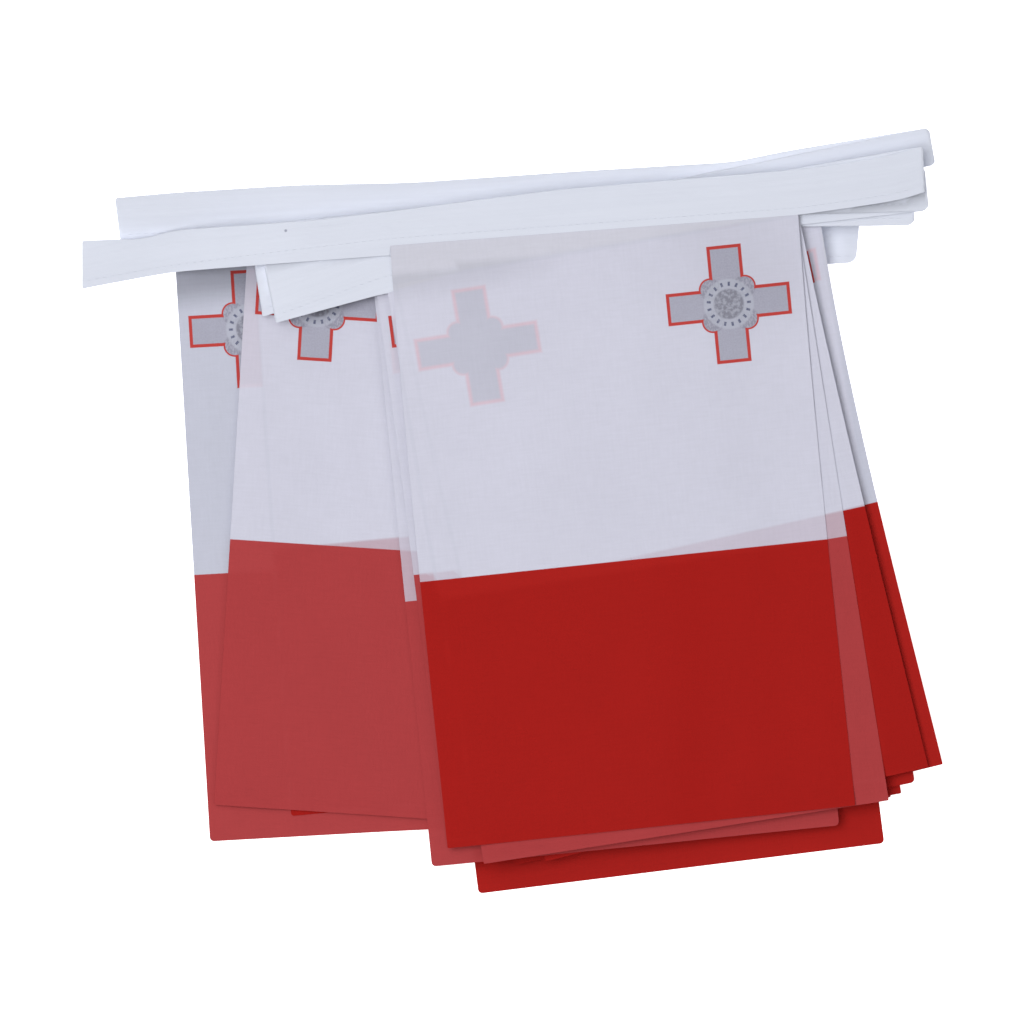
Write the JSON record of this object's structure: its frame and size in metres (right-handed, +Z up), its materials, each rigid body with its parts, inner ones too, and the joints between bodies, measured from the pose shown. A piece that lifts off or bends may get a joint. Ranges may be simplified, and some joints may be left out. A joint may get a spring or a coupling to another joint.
{
  "type": "folded flag bunting",
  "caption": "String of thin white and red cloth flags on a white heading tape, folded back and forth into a flat stack.",
  "frame": {"origin": "centre of the stack's footprint, on the surface that it lies on", "axes": "+X along the heading tape, to the right as seen from above; +Y across the flags, towards the heading tape; +Z up, out of the surface"},
  "size_m": [0.3161, 0.2815, 0.0192],
  "materials": {
    "tape_cloth": "white polyester tape, fine plain weave, matt",
    "flag_cloth": "thin printed polyester, white above and red below, slightly sheer, matt"
  },
  "bodies": {
    "root": {"tape": "tape_cloth", "flag_01": "flag_cloth", "flag_02": "flag_cloth", "flag_03": "flag_cloth", "flag_04": "flag_cloth", "flag_05": "flag_cloth", "flag_06": "flag_cloth", "flag_07": "flag_cloth", "flag_08": "flag_cloth", "flag_09": "flag_cloth", "flag_10": "flag_cloth", "flag_11": "flag_cloth", "flag_12": "flag_cloth", "flag_13": "flag_cloth", "flag_14": "flag_cloth", "flag_15": "flag_cloth"}
  },
  "joints": []
}
